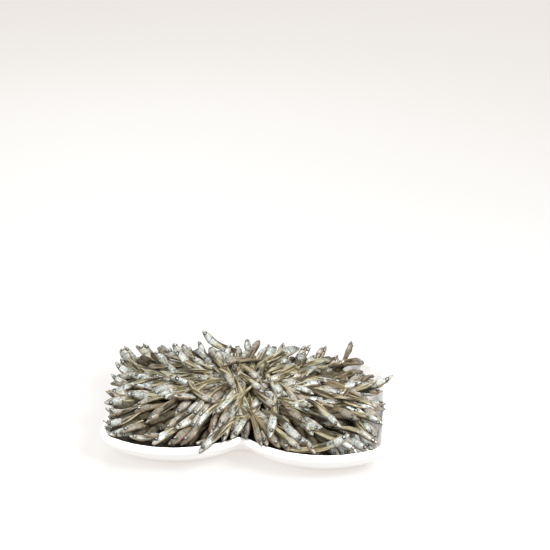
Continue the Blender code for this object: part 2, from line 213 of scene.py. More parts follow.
# %% [markdown]
# On a plain white floor the dish's shadow is much too dark. Here most of the floor's brightness is
# its own soft glow, which no shadow takes away, and only a small part is light from the lamps.

# %% Floor
FLOOR_SIZE = 6.0
FLOOR_COLOUR = (0.125, 0.145, 0.165, 1.0)
FLOOR_GLOW = (0.69, 0.635, 0.58, 1.0)
FLOOR_ROUGHNESS = 0.8

bm = bmesh.new()
bmesh.ops.create_grid(bm, x_segments=1, y_segments=1, size=FLOOR_SIZE)
floor = new_object("floor", new_mesh("floor", bm))
floor_paint, _, floor_shader = principled("floor_paint")
set_inputs(floor_shader, {"Base Color": FLOOR_COLOUR, "Roughness": FLOOR_ROUGHNESS})
set_inputs(floor_shader, {"Emission Color": FLOOR_GLOW, "Emission Strength": 1.0})
floor.data.materials.append(floor_paint)
print("floor", 2 * FLOOR_SIZE, "metres wide")

# %% [markdown]
# The dish is pressed porcelain: two rounded lobes along each long side, a straight end at each
# short side and a thick round rim. Its plan is four kinds of arc, so moving the plan inwards only
# means changing the arcs' radii. The wall is then a stack of such plans, bridged ring to ring.

# %% The plan of the dish
DISH_HALF_LENGTH = 0.125
DISH_HALF_DEPTH = 0.0885
DISH_HEIGHT = 0.024
LOBE_X = 0.0658
LOBE_RADIUS = 0.100
NOTCH_RADIUS = 0.004
CORNER_RADIUS = 0.021
RIM_WIDTH = 0.0044
FLOOR_HEIGHT = 0.0048
FOOT_INSET = 0.0165


def arc(centre, radius, start, end, steps):
    """Points along an arc, both ends included; angles in radians."""
    angles = np.linspace(start, end, steps)
    return [(centre[0] + radius * math.cos(a), centre[1] + radius * math.sin(a)) for a in angles]


def dish_outline(inset, lobe_steps=12, corner_steps=4, notch_steps=3):
    """The rim's plan, moved inwards: a notch, a lobe, a corner and a straight end, mirrored twice."""
    lobe = (LOBE_X, LOBE_RADIUS - DISH_HALF_DEPTH)
    notch_drop = math.sqrt((LOBE_RADIUS + NOTCH_RADIUS) ** 2 - LOBE_X**2)
    notch = (0.0, lobe[1] - notch_drop)
    to_lobe = math.atan2(notch_drop, LOBE_X)
    across = DISH_HALF_LENGTH - CORNER_RADIUS - LOBE_X
    corner_drop = math.sqrt((LOBE_RADIUS - CORNER_RADIUS) ** 2 - across**2)
    corner = (lobe[0] + across, lobe[1] - corner_drop)
    to_corner = math.atan2(-corner_drop, across)
    quarter = arc(notch, NOTCH_RADIUS + inset, math.pi / 2, to_lobe, notch_steps)
    quarter += arc(lobe, LOBE_RADIUS - inset, to_lobe - math.pi, to_corner, lobe_steps)[1:]
    quarter += arc(corner, CORNER_RADIUS - inset, to_corner, 0.0, corner_steps)[1:]
    quarter.append((DISH_HALF_LENGTH - inset, 0.0))
    right = quarter + [(x, -y) for x, y in reversed(quarter[:-1])]
    left = [(-x, y) for x, y in reversed(right[1:-1])]
    return right + left


print("points in the plan", len(dish_outline(0.0)))

# %% The wall, and the dish
RIM_STEPS = 11
WALL_STEPS = 26
WALL_SMOOTHING = 3
FINE_PLAN = (44, 12, 8)
SHARP_ANGLE = math.radians(50)

# Inset from the rim's outer edge and height: the foot, up the outside, and down the inside to the floor
FOOT = [(FOOT_INSET + 0.0004, 0.0), (FOOT_INSET, 0.0004)]
OUTER_WALL = [(FOOT_INSET - 0.0002, 0.0018), (0.0108, 0.0054), (0.0062, 0.0104)]
OUTER_WALL += [(0.0024, 0.0156), (0.0003, 0.0178)]
INNER_WALL = [(0.0066, 0.0160), (0.0102, 0.0105), (0.0145, 0.0070), (0.0190, FLOOR_HEIGHT)]


def run_along(path):
    """How far along a path each of its points is."""
    return np.concatenate([[0.0], np.cumsum(np.hypot(*np.diff(path, axis=0).T))])


def on_path(path, run, marks):
    """The points that are so far along a path."""
    return np.stack([np.interp(marks, run, column) for column in path.T], axis=1)


def smooth_curve(points):
    """A rounder path through the corners of a coarse one."""
    path = np.array(points, float)
    run = run_along(path)
    drawn = on_path(path, run, np.linspace(0.0, run[-1], WALL_STEPS))
    for _ in range(WALL_SMOOTHING):
        drawn[1:-1] = (drawn[:-2] + 2 * drawn[1:-1] + drawn[2:]) / 4
    return [tuple(p) for p in drawn]


def wall_profile():
    """(inset, height) up the outside, over the round rim and down the inside to the floor."""
    radius = RIM_WIDTH / 2
    rim = arc((radius, DISH_HEIGHT - radius), radius, math.pi, 0.0, RIM_STEPS)
    outside = smooth_curve(OUTER_WALL + rim[:1])
    inside = smooth_curve(rim[-1:] + INNER_WALL)
    return FOOT + outside[:-1] + rim + inside[1:]


def ring_loft(name, rings):
    """A closed shell through rings of equal count, its first and last ring capped."""
    bm = bmesh.new()
    made = []
    for ring in rings:
        loop = [bm.verts.new(point) for point in ring]
        made.append([bm.edges.new(pair) for pair in zip(loop[-1:] + loop, loop)])
    for lower, upper in zip(made, made[1:]):
        bmesh.ops.bridge_loops(bm, edges=lower + upper)
    for ends in (made[0], made[-1]):
        bmesh.ops.contextual_create(bm, geom=ends)
    bmesh.ops.recalc_face_normals(bm, faces=bm.faces[:])
    return new_object(name, new_mesh(name, bm))


dish_rings = [[(x, y, z) for x, y in dish_outline(inset, *FINE_PLAN)] for inset, z in wall_profile()]
dish = ring_loft("dish_glazed", dish_rings)
dish.data.shade_smooth()
dish.data.set_sharp_from_angle(angle=SHARP_ANGLE)
print("dish faces", len(dish.data.polygons))

# %% [markdown]
# Glaze is a thin layer of glass over a white body, smooth but never quite flat. A slow noise gives
# the waviness, and a second one a hint of a warmer tone.

# %% Glaze
GLAZE_COLOUR = (0.94, 0.935, 0.92, 1.0)
GLAZE_WARM = (0.915, 0.90, 0.87, 1.0)
GLAZE_TONES = 22.0
GLAZE_TONE_RANGE = (0.35, 0.75)
GLAZE_SHINE = 60.0
GLAZE_ROUGHNESS = (0.3, 0.7, 0.07, 0.16)
GLAZE_RIPPLES = 45.0
RIPPLE_STRENGTH = 0.06
RIPPLE_DEPTH = 0.002
COAT_WEIGHT = 0.4
COAT_ROUGHNESS = 0.04

glaze, glaze_tree, glaze_shader = principled("white_glaze")
place = glaze_tree.nodes.new("ShaderNodeTexCoord").outputs["Object"]
patches = ramped(noise_of(place, GLAZE_TONES), *GLAZE_TONE_RANGE)
join(blended(patches, GLAZE_COLOUR, GLAZE_WARM), glaze_shader.inputs["Base Color"])
shine = ramped(noise_of(place, GLAZE_SHINE), *GLAZE_ROUGHNESS)
join(shine, glaze_shader.inputs["Roughness"])
ripples = noise_of(place, GLAZE_RIPPLES, 1.0)
bumped(glaze_shader, ripples, RIPPLE_STRENGTH, RIPPLE_DEPTH)
set_inputs(glaze_shader, {"Coat Weight": COAT_WEIGHT, "Coat Roughness": COAT_ROUGHNESS})
dish.data.materials.append(glaze)
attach(dish, "root")
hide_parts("dish")
print("glaze nodes", len(glaze_tree.nodes))

# %% [markdown]
# The places of the fish follow the same rule and seed as the solids: rings of snouts from the rim
# inwards, each fish lowered onto a map of the heap's height so far, and then single fish on top.

# %% Heights inside the dish
HEAP_EDGE = 0.0300
HEAP_MIDDLE = 0.0430
HEAP_BACK_LIFT = 0.0025
HEAP_FRONT_DROP = 0.0045
HEAP_FRONT = (0.050, 0.035)
HEAP_ROUNDNESS = 2.2
BED_DEPTH = 0.0170
BED_EDGE = 0.0150
BED_INSET = 0.0070
BED_RUN = 0.030
GRID_STEP = 0.001
GRID_REACH = (0.150, 0.120)
PLAN_STEPS = (61, 13, 9)


def rising(value, start, run):
    """0 up to the start, 1 after the run, and a soft rise between."""
    share = np.clip((value - start) / run, 0.0, 1.0)
    return share * share * (3.0 - 2.0 * share)


def hump(value, middle, run):
    """1 in the middle, and a soft fall to 0 on both sides."""
    return np.exp(-(((value - middle) / run) ** 2))


def read_table(table, at):
    """The further columns of a table, read between its rows."""
    first, *others = np.array(table).T
    return [np.interp(at, first, column) for column in others]


class Plan:
    """The dish seen from above: how far its edge is from the middle in each direction."""

    def __init__(self):
        corners = np.array(dish_outline(0.0, *PLAN_STEPS))
        corners = np.vstack([corners, corners[:1]])
        run = run_along(corners)
        self.edge = on_path(corners, run, np.arange(0.0, run[-1], GRID_STEP))
        x, y = self.edge.T
        angle = np.arctan2(y, x)
        order = np.argsort(angle)
        self.angle = angle[order]
        self.radius = np.hypot(x, y)[order]

    def reach(self, angle):
        """How far the edge is from the middle that way."""
        return np.interp(angle, self.angle, self.radius, period=2 * math.pi)

    def share(self, x, y):
        """0 in the middle of the dish, 1 at its edge."""
        return np.hypot(x, y) / self.reach(np.arctan2(y, x))

    def inset(self, x, y):
        """Distance in from the edge, less than zero outside it."""
        gap = np.full(np.shape(x), 1.0)
        for edge_x, edge_y in self.edge:
            gap = np.minimum(gap, np.hypot(x - edge_x, y - edge_y))
        return np.where(self.share(x, y) < 1.0, gap, -gap)


def heap_height(plan, x, y):
    """Height of the heap's upper side, a low mound that is a little higher at the back."""
    share = np.clip(plan.share(x, y), 0.0, 1.0)
    rise = (HEAP_MIDDLE - HEAP_EDGE) * (1.0 - share**HEAP_ROUNDNESS)
    front = rising(-y, *HEAP_FRONT)
    return HEAP_EDGE + rise + HEAP_BACK_LIFT * y / DISH_HALF_DEPTH - HEAP_FRONT_DROP * front


def bed_height(plan, x, y, inset):
    """Height of the bed that the first fish are laid on, lower beside the wall."""
    deep = heap_height(plan, x, y) - BED_DEPTH
    return BED_EDGE + (deep - BED_EDGE) * rising(inset, BED_INSET, BED_RUN)


class HeightField:
    """The heap's height so far, on a grid over the dish."""

    def __init__(self, plan):
        lines = [np.arange(-reach, reach + GRID_STEP / 2, GRID_STEP) for reach in GRID_REACH]
        self.x, self.y = np.meshgrid(*lines, indexing="ij")
        inset = plan.inset(self.x, self.y)
        # Each wall point counts for the millimetre round it, as the grid is coarse
        wall = [(RIM_WIDTH + GRID_STEP / 2, DISH_HEIGHT)] + INNER_WALL
        insets = [at + GRID_STEP / 2 for at, _ in wall]
        self.dish = np.interp(inset, insets, [height for _, height in wall])
        self.dish[inset < -GRID_STEP / 2] = -1.0
        bed = bed_height(plan, self.x, self.y, inset)
        self.height = np.where(inset > BED_INSET, np.maximum(bed, self.dish), self.dish)
        self.cap = heap_height(plan, self.x, self.y)

    def index(self, *place):
        """The grid's nearest points to places x, y."""
        nearest = []
        for at, reach, count in zip(place, GRID_REACH, self.x.shape):
            nearest.append(np.clip(np.rint((at + reach) / GRID_STEP).astype(int), 0, count - 1))
        return tuple(nearest)


print("edge to edge", round(2 * float(Plan().reach(0.0)), 3))

# %% [markdown]
# A heap needs no physics simulation. Each fish is a shallow arc seen from above and a shallow curve
# seen from the side, and the curve is fitted to the heights below the body.

# %% How a fish lies
STATIONS = 15
STATION_SPAN = (0.02, 0.98)
CLEAR_STEPS = 41
CLEAR_TURNS = 13
MARK_STEPS = 120
MARK_LINES = 13
DISH_GAP = 0.0006

# Resting: share of the half width and how far the body has rounded off there, then the fit's limits
REST_POINTS = ((-0.8, 0.4), (-0.4, 0.08), (0.0, 0.0), (0.4, 0.08), (0.8, 0.4))
LEAST_PULL = 0.4
MOST_CURVE = 0.28
MOST_SLOPE = 0.60
PRESS = 0.45

# Share of the fish's length from the snout, then half its height and half its thickness there
BODY_PROFILE = (
    (0.00, 0.000, 0.000),
    (0.04, 0.036, 0.024),
    (0.10, 0.059, 0.038),
    (0.20, 0.078, 0.046),
    (0.29, 0.081, 0.047),
    (0.38, 0.070, 0.040),
    (0.52, 0.065, 0.035),
    (0.70, 0.057, 0.028),
    (0.85, 0.041, 0.018),
    (0.94, 0.024, 0.009),
    (1.00, 0.026, 0.003),
)


@dataclass
class Fish:
    """One fish as it lies. t runs from 0 at the snout to 1 at the tail."""

    snout: tuple
    heading: float
    length: float
    roll: float
    bend: float
    rise: tuple = (0.0, 0.0, 0.0)

    def beside(self, t, side=0.0):
        """Plan position so far to the left of the centreline, which is a shallow arc."""
        angle = self.heading + math.pi + self.bend * t
        middle = self.heading + math.pi + self.bend * t / 2
        reach = self.length * t
        x = self.snout[0] + reach * np.cos(middle) - side * np.sin(angle)
        y = self.snout[1] + reach * np.sin(middle) + side * np.cos(angle)
        return x, y

    def height(self, t):
        """Height of the centreline."""
        base, slope, curve = self.rise
        return base + slope * t + curve * t * t

    def half_sizes(self, t):
        """Half the body's height and half its thickness."""
        return [half * self.length for half in read_table(BODY_PROFILE, t)]

    def spans(self, t):
        """Half the body's vertical and sideways reach, as it lies."""
        tall, thick = self.half_sizes(t)
        up = np.hypot(tall * math.cos(self.roll), thick * math.sin(self.roll))
        side = np.hypot(tall * math.sin(self.roll), thick * math.cos(self.roll))
        return up, side

    def placed(self, t, tall, wide, twist=0.0):
        """The point at t that is so far from the centreline towards the back and to the left."""
        roll = self.roll + twist
        up = tall * np.cos(roll) - wide * np.sin(roll)
        side = tall * np.sin(roll) + wide * np.cos(roll)
        return *self.beside(t, side), self.height(t) + up


def rest_on(field, fish, on_top=False):
    """Lays the fish on the heap: a shallow curve fitted to what is under it, pressed in a little."""
    t = np.linspace(*STATION_SPAN, STATIONS)
    up, side = fish.spans(t)
    under = np.full(STATIONS, -1.0)
    for share, drop in REST_POINTS:
        place = field.index(*fish.beside(t, side * share))
        limit = field.cap[place] - (0.0 if on_top else 2.0) * up
        limit = np.maximum(limit, field.dish[place])
        under = np.maximum(under, np.minimum(field.height[place], limit) - up * drop)
    held = under > 0.0
    wanted = (under + up)[held]
    order = np.vander(t[held], 3, increasing=True)
    pull = np.sqrt(LEAST_PULL + side[held] / side.max())
    base, slope, curve = np.linalg.lstsq(order * pull[:, None], wanted * pull, rcond=None)[0]
    curve = np.clip(curve, -MOST_CURVE * fish.length, MOST_CURVE * fish.length)
    slope = np.clip(slope, -MOST_SLOPE * fish.length, MOST_SLOPE * fish.length)
    short = wanted - (base + slope * t[held] + curve * t[held] ** 2)
    lift = (1.0 - PRESS) * short.max() + PRESS * short.mean()
    fish.rise = (base + lift, slope, curve)


def lift_clear(field, fish):
    """Raises the fish so that no part of it reaches the dish."""
    t = np.linspace(0.0, 1.0, CLEAR_STEPS)
    tall, thick = fish.half_sizes(t)
    worst = 0.0
    for around in np.linspace(0.0, 2 * math.pi, CLEAR_TURNS)[:-1]:
        x, y, z = fish.placed(t, tall * math.cos(around), thick * math.sin(around))
        dish = field.dish[field.index(x, y)]
        worst = max(worst, np.where(dish > 0.0, dish + DISH_GAP - z, 0.0).max())
    base, slope, curve = fish.rise
    fish.rise = (base + worst, slope, curve)


def add_to_field(field, fish):
    """Adds the fish's upper side to the heights."""
    t = np.linspace(0.0, 1.0, MARK_STEPS)
    up, side = fish.spans(t)
    for share in np.linspace(-1.0, 1.0, MARK_LINES):
        place = field.index(*fish.beside(t, side * share))
        top = fish.height(t) + up * math.sqrt(max(0.0, 1.0 - share * share))
        np.maximum.at(field.height, place, top)


print("profile of", len(BODY_PROFILE), "sections,", STATIONS, "resting points")

# %% [markdown]
# The snouts lie on rings inside the rim, a little uneven, and every body lies on the ring inside
# its own. In the back half the heads point more to the back, and at the ends they lie level. The
# inner rings turn into an oval, so the notch is lost towards the middle.

# %% The rings of fish
FISH_LENGTH = 0.053
LAYOUT_SEED = 17
RING_COUNT = 7
RING_STEP = 0.148
RING_SPACING = 0.0090
SNOUTS_OUT = 1.020
LEFT_REACH = 0.015
RIGHT_PULL = 0.035
FRONT_PULL = 0.065
CORNER_PULL = 0.075
BACK_TURN = 2.0
FRONT_TURN = 1.25
END_TURN = 0.95
LEVEL_END = (0.045, 0.050)

# Where a ring is drawn in or out: from and over how much of the way round to that side
RING_FRONT = (0.10, 0.45)
RING_SIDE = (0.55, 0.30)
RING_CORNER = (0.42, 0.22)

# The inner rings turn into an oval, this share of the dish's depth, by this ring
OVAL_SHARE = 0.92
OVAL_RING = 2.5

# Unevenness: snouts along and off their ring, headings (more to the right), bends, lengths, leans
MARK_SPREAD = 0.25
SNOUT_SPREAD = 0.0022
TURN_SPREAD = 0.11
MORE_SPREAD = 0.13
LOOSER = (-0.02, 0.06)
BEND_SPREAD = 0.20
LENGTHS = (0.86, 1.12)
LEAN = 35.0
LEAN_SPREAD = 20.0

TURN_STEPS = 721
LEAST_IN_RING = 4


def ring_places(plan, number, rng):
    """Evenly spread snouts of one ring; only the front ones stay inside the rim."""
    angle = np.linspace(-math.pi, math.pi, TURN_STEPS)
    front = rising(-np.sin(angle), *RING_FRONT)
    right = rising(np.cos(angle), *RING_SIDE)
    left = rising(-np.cos(angle), *RING_SIDE)
    corner = hump(angle, *RING_CORNER)
    outer = plan.reach(angle)
    oval = 1.0 / np.hypot(np.cos(angle) / DISH_HALF_LENGTH, np.sin(angle) / (OVAL_SHARE * DISH_HALF_DEPTH))
    blend = min(1.0, number / OVAL_RING)
    edge = (1.0 - blend) * outer + blend * oval
    share = SNOUTS_OUT + LEFT_REACH * left - RIGHT_PULL * right - FRONT_PULL * front - CORNER_PULL * corner
    reach = edge * share * (1.0 - RING_STEP * number)
    path = np.stack([reach * np.cos(angle), reach * np.sin(angle)], axis=1)
    run = run_along(path)
    count = max(LEAST_IN_RING, round(run[-1] / RING_SPACING))
    marks = np.arange(count) + rng.uniform(-MARK_SPREAD, MARK_SPREAD, count) + rng.uniform()
    return on_path(path, run, np.mod(marks * run[-1] / count, run[-1]))


def heading_at(x, y):
    """Way that the heads point: outwards, more to the back in the back half, level at the ends."""
    if y > 0.0:
        return math.atan2(BACK_TURN * y, x)
    end = rising(abs(x), *LEVEL_END)
    return math.atan2((FRONT_TURN + (END_TURN - FRONT_TURN) * end) * y, x)


def some_fish(rng, x, y, heading):
    """A fish of uneven size and bend, its flatter side looking up and leaning to the front."""
    loose = TURN_SPREAD + MORE_SPREAD * rising(x, *LOOSER)
    outwards = math.atan2(y, x)
    bend = math.remainder(outwards - heading, 2 * math.pi) + rng.normal(0.0, BEND_SPREAD)
    heading += rng.normal(0.0, loose)
    length = FISH_LENGTH * rng.uniform(*LENGTHS)
    lean = math.radians(-LEAN * math.cos(heading) + rng.normal(0.0, LEAN_SPREAD))
    roll = rng.choice((1.0, 1.0, -1.0)) * math.pi / 2 - lean
    return Fish((x, y), heading, length, roll, bend)


print("fish length", FISH_LENGTH, "ring spacing", RING_SPACING)

# %% [markdown]
# Rings alone look combed, so single fish lie across them, and some raise their snouts. Each row is
# one fish, placed by measure in the photo. A raised one is straighter, so its tail doesn't droop.

# %% Fish that cross the others, and laying them all
# Millimetres of raised snout from which a fish no longer droops over the ones below
STRAIGHT_FROM = 12.0
MILLIMETRES = 1000.0
TOP_BEND = 0.4
TOP_LEAN = math.radians(42.0)

# Fish that cross the others: snout in millimetres, heading in degrees, snout raised by millimetres
FISH_ON_TOP = (
    (-130, 62, 116, 5), (-33, -94, -122, 5), (-9, -74, -118, 2),
    (20, -81, -64, 3), (26, -74, -92, 2), (53, -84, -36, 2),
    (57, -79, -42, 3), (94, -70, 30, 1), (86, -58, -44, 2),
    (55, -56, -28, 2), (-26, -42, -38, 2), (-24, -52, -126, 2),
    (101, 63, 58, 2), (73, 64, 57, 3), (41, 70, 54, 4),
    (-85, 44, 145, 6), (-12, 82, 104, 17), (1, 80, 84, 18),
    (-54, 72, 148, 20), (-36, 47, 108, 6), (29, -46, -53, 2),
    (27, -31, -83, 3), (-9, -16, -47, 3), (-26, 14, -128, 4),
    (10, -9, -64, 4), (16, -26, -51, 4), (13, -9, -139, 5),
)

# More loose fish that fill the back of the heap; the solid is whole without them
FISH_AT_BACK = (
    (-19, 66, 100, 8), (-27, 57, 96, 7), (-44, 60, 112, 7),
    (-8, 62, 86, 6), (9, 72, 82, 7), (19, 69, 70, 7),
    (37, 77, 64, 7),
)


def lay_fish():
    """Every fish of the heap that can be seen, from the outermost ring in, then those on top."""
    rng = np.random.default_rng(LAYOUT_SEED)
    plan = Plan()
    field = HeightField(plan)
    fish = []
    for number in range(RING_COUNT):
        for x, y in ring_places(plan, number, rng):
            x += rng.normal(0.0, SNOUT_SPREAD)
            y += rng.normal(0.0, SNOUT_SPREAD)
            one = some_fish(rng, x, y, heading_at(x, y))
            rest_on(field, one)
            lift_clear(field, one)
            add_to_field(field, one)
            fish.append(one)
    for x, y, heading, raised in FISH_ON_TOP + FISH_AT_BACK:
        one = some_fish(rng, x / MILLIMETRES, y / MILLIMETRES, math.radians(heading))
        one.heading = math.radians(heading)
        one.bend *= TOP_BEND
        one.roll = math.copysign(math.pi / 2, one.roll) + TOP_LEAN * math.cos(one.heading)
        rest_on(field, one, on_top=True)
        base, slope, curve = one.rise
        flatter = curve * max(0.0, 1.0 - raised / STRAIGHT_FROM)
        up = raised / MILLIMETRES
        one.rise = (base + up, slope + curve - flatter - up, flatter)
        lift_clear(field, one)
        add_to_field(field, one)
        fish.append(one)
    return fish, field, plan


fish_list, height_field, dish_plan = lay_fish()
print("fish laid", len(fish_list))

# %% [markdown]
# One fish. A ball from the sphere maker already has what a fish needs: rings from snout to tail
# and a pole at each end. Each point is told by its ring and its turn round the body. The rings are
# drawn out along the body and crowded at the head, where the small forms are.

# %% Sections of a fish, and the ball that it is made from
# Share of the length from the snout, half height towards the back, towards the belly, half thickness
FISH_SECTIONS = (
    (0.000, 0.003, 0.003, 0.003),
    (0.020, 0.021, 0.019, 0.016),
    (0.055, 0.041, 0.039, 0.028),
    (0.100, 0.055, 0.056, 0.037),
    (0.150, 0.064, 0.070, 0.043),
    (0.215, 0.070, 0.081, 0.048),
    (0.280, 0.072, 0.086, 0.049),
    (0.320, 0.069, 0.080, 0.045),
    (0.390, 0.065, 0.073, 0.040),
    (0.500, 0.064, 0.069, 0.037),
    (0.620, 0.062, 0.064, 0.035),
    (0.750, 0.054, 0.053, 0.029),
    (0.860, 0.041, 0.039, 0.021),
    (0.920, 0.029, 0.028, 0.014),
    (0.955, 0.029, 0.029, 0.007),
    (1.000, 0.046, 0.046, 0.0022),
)
SECTION_STEPS = 401
EVEN_OVER = 9
RING_AT = (0, 0.022, 0.065, 0.118, 0.19, 0.255, 0.286, 0.3, 0.37, 0.5, 0.65, 0.8, 0.915, 0.955, 1)
FISH_SIDES = 10
EYE_SIDES = 8
EYE_RINGS = 5


def section_at(t):
    """Half height of back and belly and half thickness, smoothed along the body."""
    fine = np.linspace(0.0, 1.0, SECTION_STEPS)
    even = np.full(EVEN_OVER, 1 / EVEN_OVER)
    found = []
    for line in read_table(FISH_SECTIONS, fine):
        line = np.convolve(np.pad(line, EVEN_OVER // 2, mode="edge"), even, mode="valid")
        found.append(np.interp(t, fine, line))
    return found


def stations(rings):
    """Where each ring of the ball goes along the body: close together at the head."""
    return np.interp(np.linspace(0.0, 1.0, rings + 1), np.linspace(0.0, 1.0, len(RING_AT)), RING_AT)


class FishBall:
    """A ball for fish and eyes to be shaped from: its mesh, and where each point is on it."""

    def __init__(self, sides, rings):
        bm = bmesh.new()
        bmesh.ops.create_uvsphere(bm, u_segments=sides, v_segments=rings, radius=1.0)
        self.mesh = new_mesh("fish_ball", bm)
        points = np.array([tuple(point.co) for point in self.mesh.vertices])
        self.polar = np.arccos(np.clip(points[:, 2], -1.0, 1.0))
        ring = np.rint(self.polar / math.pi * rings).astype(int)
        self.station = stations(rings)[ring]
        self.around = np.arctan2(points[:, 1], points[:, 0])
        self.pole = (ring == 0) | (ring == rings)
        self.around[self.pole] = 0.0


fine_ball = FishBall(FISH_SIDES, len(RING_AT) - 1)
eye_ball = FishBall(EYE_SIDES, EYE_RINGS)
print("points in a fish", len(fine_ball.around), "and in an eye", len(eye_ball.around))

# %% [markdown]
# Dried fish are all bent in their own way. Wrinkles, sunken flanks, a gill cover, a slack jaw and a
# forked tail are sums of soft steps along and round the body. A few drawn traits make each fish its
# own, and a subdivision at the end rounds it all off.

# %% The form of a fish
# Places along the body and runs over which a form comes or goes are shares of the fish's length
GILL_AT = 0.292
GILL_BOW = 0.055
GILL_RUN = 0.045
GILL_STEP = 0.0065
COVER = (0.11, 0.07)
FLESH = (0.30, 0.06)
FLESH_END = (0.88, 0.08)
RIDGE_DRIFT = 3.0
FINE_RIDGE = 0.5
FINE_RIDGE_SHIFT = 2.3
KEEL = 0.35
MOUTH_FROM = 0.012
MOUTH_END = 0.140
MOUTH_LINE = -0.59
MOUTH_HALF_WIDTH = 0.12
MOUTH_CREASE = 0.84
JAW_BELOW = -0.70
JAW_DROP = 0.020
JAW_OUT = 0.010
FORK = 0.050
FORK_AT = (0.93, 0.05)
WAVES = 5.0
SWAYS = 6.5
ON_THE_EDGE = 0.999
BACK_FIN = 0.016
BACK_FIN_AT = (0.50, 0.035)
BELLY_FIN = 0.011
BELLY_FIN_AT = (0.64, 0.050)


class Traits:
    """What makes one fish differ from the next."""

    def __init__(self, rng):
        self.depth = rng.uniform(0.90, 1.12)
        self.thickness = rng.uniform(0.85, 1.12)
        self.ridges = rng.integers(3, 6)
        self.ridge_depth = rng.uniform(0.08, 0.17)
        self.phase = rng.uniform(0.0, 2 * math.pi)
        self.drift = rng.uniform(-2.5, 2.5)
        self.hollow = rng.uniform(0.12, 0.42)
        self.jaw = rng.uniform(0.0, 1.0) ** 2
        self.twist = rng.normal(0.0, 0.45)
        self.wave = rng.normal(0.0, 0.014)
        self.sway = rng.normal(0.0, 0.026)
        self.wave_phase = rng.uniform(0.0, 2 * math.pi)
        self.fork = rng.uniform(0.5, 1.1)
        self.tone = rng.uniform()
        self.offset = rng.uniform(-40.0, 40.0, 3)

    def waves(self, t):
        """How far the whole body sways up and sideways."""
        up = self.sway * np.sin(SWAYS * t + 2 * self.wave_phase)
        return up, self.wave * np.sin(WAVES * t + self.wave_phase)


def fish_points(ball, traits):
    """Along, towards the back and to the left of each point, in lengths, and the paint values."""
    cos, sin = np.cos(ball.around), np.sin(ball.around)
    t = ball.station.copy()
    # The rings near the gill cover bow back at the sides
    t -= GILL_BOW * hump(t, GILL_AT, GILL_RUN) * cos**2
    back, belly, thick = section_at(t)
    flesh = rising(t, *FLESH) * (1.0 - rising(t, *FLESH_END))
    ridge = np.cos(traits.ridges * ball.around + traits.phase + traits.drift * t * RIDGE_DRIFT)
    ridge += FINE_RIDGE * np.cos((2 * traits.ridges + 1) * ball.around + FINE_RIDGE_SHIFT * traits.phase)
    swell = 1.0 + traits.ridge_depth * flesh * ridge
    tall = np.where(cos > 0.0, back, belly) * traits.depth * cos * swell
    wide = thick * traits.thickness * sin * swell
    wide *= 1.0 - traits.hollow * flesh * np.abs(sin) ** 3
    # A keel along the belly, and thin fins
    wide *= 1.0 - KEEL * np.clip(-cos, 0.0, 1.0) ** 2
    tall += BACK_FIN * hump(t, *BACK_FIN_AT) * (cos > ON_THE_EDGE) * ~ball.pole
    tall -= BELLY_FIN * hump(t, *BELLY_FIN_AT) * (cos < -ON_THE_EDGE)
    # The gill cover stands off the body, and the mouth is a crease under the eye
    cover = rising(ball.station, *COVER) * (ball.station < GILL_AT)
    wide += np.sign(sin) * GILL_STEP * cover * (1.0 - np.abs(cos) ** 3)
    mouth = (np.abs(cos - MOUTH_LINE) < MOUTH_HALF_WIDTH) & (t > MOUTH_FROM) & (t < MOUTH_END)
    shut = np.where(mouth, MOUTH_CREASE, 1.0)
    tall, wide = tall * shut, wide * shut
    jaw = np.where((cos < JAW_BELOW) & (t < MOUTH_END), 1.0 - t / MOUTH_END, 0.0)
    tall -= JAW_DROP * traits.jaw * jaw
    t = t + JAW_OUT * jaw
    # The tail fin is forked: its middle stays short
    t -= FORK * traits.fork * rising(ball.station, *FORK_AT) * (1.0 - np.abs(cos))
    t[ball.pole & (ball.station > 0.5)] = 1.0 - FORK * traits.fork
    tall[ball.pole], wide[ball.pole] = 0.0, 0.0
    up, sideways = traits.waves(t)
    head = (ball.station < GILL_AT).astype(float)
    return t, tall + up, wide + sideways, {"back": cos, "head": head, "mouth": mouth.astype(float)}


print("sections in the profile", len(FISH_SECTIONS))

# %% The eyes
EYE_AT = 0.112
EYE_UP = 0.010
EYE_RADIUS = 0.0430
EYE_DEPTH = 0.88
EYE_BULGE = 0.30


def eye_points(ball, traits, side):
    """The eye on one side: a flat round button, and how far each of its points is from its middle."""
    out, ring = np.cos(ball.polar), np.sin(ball.polar)
    _, _, thick = section_at(np.array([EYE_AT]))
    up, sideways = traits.waves(EYE_AT)
    t = EYE_AT + EYE_RADIUS * ring * np.cos(ball.around)
    tall = EYE_UP + EYE_RADIUS * ring * np.sin(ball.around) + up
    wide = side * (thick[0] * traits.thickness * EYE_DEPTH + EYE_BULGE * EYE_RADIUS * out) + sideways
    return t, tall, wide, np.where(out > 0.0, ring, 1.0)


print("eye", round(2 * EYE_RADIUS * FISH_LENGTH * MILLIMETRES, 1), "mm across")

# %% [markdown]
# The fish of one kind become one piece. Every body is a copy of the same ball, so all the copies
# are read into one mesh, and their points are set together. The values that the paint reads are
# stored on the points too: how far along, how near the back, head, mouth, eye, place on the skin.

# %% Joining the fish of one kind
PAINT_VALUES = ("along", "back", "head", "mouth", "tone", "eye")
TWIST = (0.22, 0.7)
TWIST_MOST = 1.6
CENTIMETRES = 100.0
NOT_AN_EYE = -1.0


